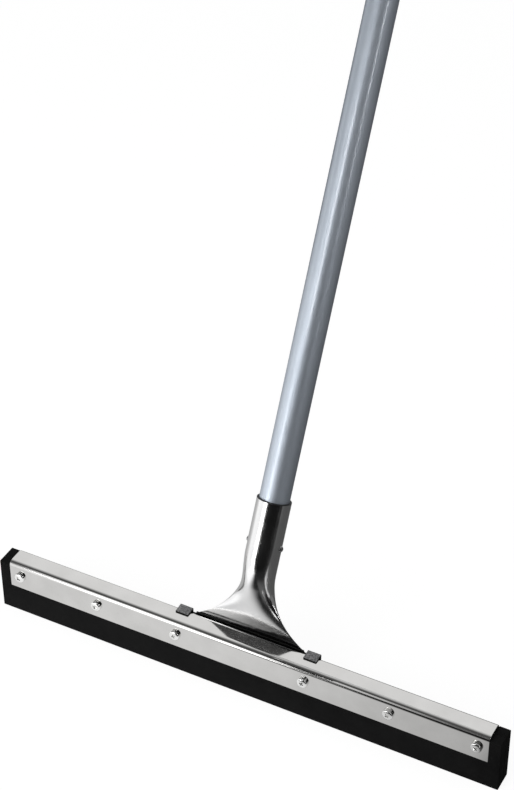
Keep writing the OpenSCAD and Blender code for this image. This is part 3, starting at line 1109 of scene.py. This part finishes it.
def floor_material():
    """A pale floor that reads white to the camera and keeps a faint shadow; in reflections it glows with
    painted light and painted shadow.
    """
    tree = material_tree("floor")
    path = tree.add("ShaderNodeLightPath").outputs

    def lit(albedo, glow):
        diffuse = tree.add("ShaderNodeBsdfDiffuse", Color=(*grey(albedo), 1)).outputs["BSDF"]
        return tree.add("ShaderNodeAddShader", i0=diffuse, i1=tree.glow(glow)).outputs["Shader"]

    def choose(test, otherwise, then):
        return tree.add("ShaderNodeMixShader", i0=path[test], i1=otherwise, i2=then).outputs["Shader"]

    lighting = lit(albedo=0.8, glow=0.0)
    # In reflections the floor glows with the painted light and shadow of floor_level
    mirrored = lit(albedo=0.01, glow=floor_level(tree))
    seen = lit(albedo=0.3, glow=0.9)
    return tree.show(choose("Is Camera Ray", choose("Is Glossy Ray", lighting, mirrored), seen))


def graded(name, axis, start, end, low, high):
    """A card's light that goes from low to high between two places along an axis."""
    tree = material_tree(name)
    return tree.show(tree.glow(tree.smooth(tree.world_axis(axis), low, high, start, end)))


def even(name, strength):
    """A card's light that is the same all over."""
    tree = material_tree(name)
    return tree.show(tree.glow(strength))


def add_sheet(name, corners, material):
    """A flat piece of the stage."""
    mesh = bpy.data.meshes.new(name)
    mesh.from_pydata(corners, [], [tuple(range(len(corners)))])
    mesh.materials.append(material)
    sheet = place_object(name, mesh)
    return sheet


def add_card(name, corners, material):
    """A card that is seen in reflections alone."""
    card = add_sheet(name, corners, material)
    card.visible_camera = False
    card.visible_diffuse = False
    card.visible_shadow = False
    card.visible_transmission = False
    card.visible_volume_scatter = False


def rectangle(left, right, low, high):
    """The corners of a rectangle along two axes."""
    return [(left, low), (right, low), (right, high), (left, high)]


def facing(name, corners, y, material):
    """A card square to Y, through corners (x, z)."""
    add_card(name, [(x, y, z) for x, z in corners], material)


def lying(name, corners, z, material):
    """A level card, through corners (x, y)."""
    add_card(name, [(x, y, z) for x, y in corners], material)


def standing(name, start, end, low, high, material):
    """A standing card from one (x, y) place to another, between two heights."""
    add_card(name, [(*start, low), (*end, low), (*end, high), (*start, high)], material)


def leaning(name, edge, left, right, material):
    """A card on the front wall between two copies of a leaning edge, moved along x."""
    (x_low, z_low), (x_high, z_high) = edge
    corners = [(x_low + left, z_low), (x_low + right, z_low)]
    corners += [(x_high + right, z_high), (x_high + left, z_high)]
    facing(name, corners, WALL_Y, material)


def up_to_side(name, edge, offset, side_x, material):
    """A card on the front wall from a leaning edge, moved along x, to an upright side."""
    (x_low, z_low), (x_high, z_high) = edge
    corners = [(x_low + offset, z_low), (side_x, z_low), (side_x, z_high), (x_high + offset, z_high)]
    facing(name, corners, WALL_Y, material)


def add_front_wall():
    """The wall in front, from left to right: white, a softbox, a grey edge and a black flag."""
    fade = 0.035
    softbox_end = -fade - 0.28
    split, bright_top = 0.3, 0.62
    wall_top = (0.8, 0.98)
    edge_low = ((-0.167, STANDING_Z), (-0.266, split))
    edge_mid = ((-0.16, split), (-0.335, bright_top))
    edge_high = ((-0.335, bright_top), (-0.6, CEILING))
    black = graded("black_flag", "Z", 0.8, 1.1, 0.008, 0.06)
    grey_edge = graded("grey_edge", "Z", *wall_top, 0.4, 0.06)
    softbox = graded("softbox", "Z", 0.25, 0.52, 4.4, 1.2)
    softbox_top = graded("softbox_top", "Z", *wall_top, 1.2, 0.1)
    white = graded("white_wall", "Z", 0.25, 0.7, 1.15, 0.2)
    parts = (("low", edge_low, softbox), ("mid", edge_mid, softbox), ("high", edge_high, softbox_top))
    for part, edge, bright in parts:
        up_to_side(f"front_flag_{part}", edge, fade, RIGHT_X, black)
        leaning(f"grey_edge_{part}", edge, -fade, fade, grey_edge)
        leaning(f"softbox_{part}", edge, softbox_end, -fade, bright)
        up_to_side(f"white_wall_{part}", edge, softbox_end, LEFT_X, white)


def add_side_walls():
    """A white wall at the left that is dim above, and dark flags at the right and behind."""
    white_top, dim_top, flag_top = 0.5, 2.2, 1.6
    left_start, left_end = (LEFT_X, LEFT_BACK), (LEFT_X, WALL_Y)
    right_start, right_end = (RIGHT_X, WALL_Y), (RIGHT_X, RIGHT_BACK)
    back_end = (0.5, 1.1)
    white = graded("side_wall", "Y", WALL_Y, 0.2, 1.15, 0.55)
    standing("side_wall", left_start, left_end, STANDING_Z, white_top, white)
    standing("side_top", left_start, left_end, white_top, dim_top, even("side_top", 0.2))
    standing("right_flag", right_start, right_end, STANDING_Z, flag_top, even("right_flag", 0.18))
    standing("back_flag", right_end, back_end, STANDING_Z, flag_top, even("dim_flag", 0.1))


def add_level_cards():
    """A flag overhead, a dark one on the floor at the right and a white card on it at the left."""
    overhead = graded("ceiling_flag", "Y", -0.35, 0.5, 0.1, 0.8)
    lying("ceiling_flag", rectangle(LEFT_X, RIGHT_X, WALL_Y, LEFT_BACK), CEILING, overhead)
    dark = graded("floor_flag", "X", 0.3, 1.2, 0.095, 0.2)
    dark_corners = [(0.03, 0.03), (RIGHT_X, -0.3), (RIGHT_X, RIGHT_BACK), (0.03, RIGHT_BACK)]
    lying("floor_flag", dark_corners, LYING_Z, dark)
    white = graded("floor_card", "Y", -0.2, 0.12, 1.2, 0.55)
    lying("floor_card", rectangle(-1.6, -0.28, -0.7, 0.3), LYING_Z, white)


def add_small_cards():
    """A glint for the fan, a flag before the channel's fold, and two lights for the handle."""
    glint_y, fold_y, top_light_y = -0.0155, -0.03, WALL_Y + 0.01
    glint_corners = [(0.0228, 0.0715), (0.029, 0.0725), (0.03, 0.078), (0.024, 0.0765)]
    facing("glint", glint_corners, glint_y, even("glint", 1.6))
    fold = graded("fold_flag", "X", 0.09, 0.2, 0.75, 0.12)
    facing("fold_flag", rectangle(0.075, 0.235, 0.0585, 0.081), fold_y, fold)
    streak = graded("streak_light", "Z", 0.48, 0.7, 1.5, 14.0)
    foot = Vector((1.535, -0.731, 0.5))
    across = Vector((0.044, 0.072, 0))
    up = Vector((0.038, 0.253, 0.5))
    add_card("streak_light", [foot, foot + across, foot + across + up, foot + up], streak)
    facing("top_light", rectangle(-0.19, 0.05, 0.5, 0.8), top_light_y, even("top_light", 5.2))


def add_lamp(name, place, target, size, power):
    """A rectangular soft lamp that faces a target and isn't mirrored."""
    data = bpy.data.lights.new(name, "AREA")
    data.shape = "RECTANGLE"
    data.size, data.size_y = size
    data.energy = power
    lamp = place_object(name, data)
    lamp.location = place
    lamp.rotation_euler = (Vector(target) - Vector(place)).to_track_quat("-Z", "Y").to_euler()
    lamp.visible_glossy = False


def add_studio():
    """World, floor, a key lamp at the front left, and what the polished metal mirrors."""
    set_world()
    ground = rectangle(-FLOOR_HALF, FLOOR_HALF, -FLOOR_HALF, FLOOR_HALF)
    add_sheet("floor", [(x, y, 0) for x, y in ground], floor_material())
    add_lamp("key", place=(-0.45, -1.65, 0.95), target=(0, 0, 0.1), size=(1.4, 1.6), power=12)
    add_front_wall()
    add_side_walls()
    add_level_cards()
    add_small_cards()


# Camera, as fitted to the photograph's frame
IMAGE_HEIGHT = 790
CAMERA_AZIMUTH = math.radians(28.14)
CAMERA_ELEVATION = math.radians(37.21)
CAMERA_ROLL = math.radians(-0.31)
CAMERA_DISTANCE = 1.54857
CAMERA_TARGET = Vector((0.01337, 0, 0.30353))
FOCAL_PIXELS = 2117.51
SENSOR = 36.0


def add_camera():
    """The camera, turned about its target and rolled."""
    data = bpy.data.cameras.new("camera")
    data.sensor_width = SENSOR
    data.lens = FOCAL_PIXELS * SENSOR / IMAGE_HEIGHT
    camera = place_object("camera", data)
    turn, rise, roll = CAMERA_AZIMUTH, CAMERA_ELEVATION, CAMERA_ROLL
    back = Vector((math.sin(turn) * math.cos(rise), -math.cos(turn) * math.cos(rise), math.sin(rise)))
    level = Vector((math.cos(turn), math.sin(turn), 0))
    above = back.cross(level)
    right = level * math.cos(roll) + above * math.sin(roll)
    up = above * math.cos(roll) - level * math.sin(roll)
    matrix = Matrix((right, up, back)).transposed().to_4x4()
    matrix.translation = CAMERA_TARGET + back * CAMERA_DISTANCE
    camera.matrix_world = matrix
    bpy.context.scene.camera = camera


build()
add_studio()
add_camera()
bpy.context.scene.view_settings.view_transform = "Standard"
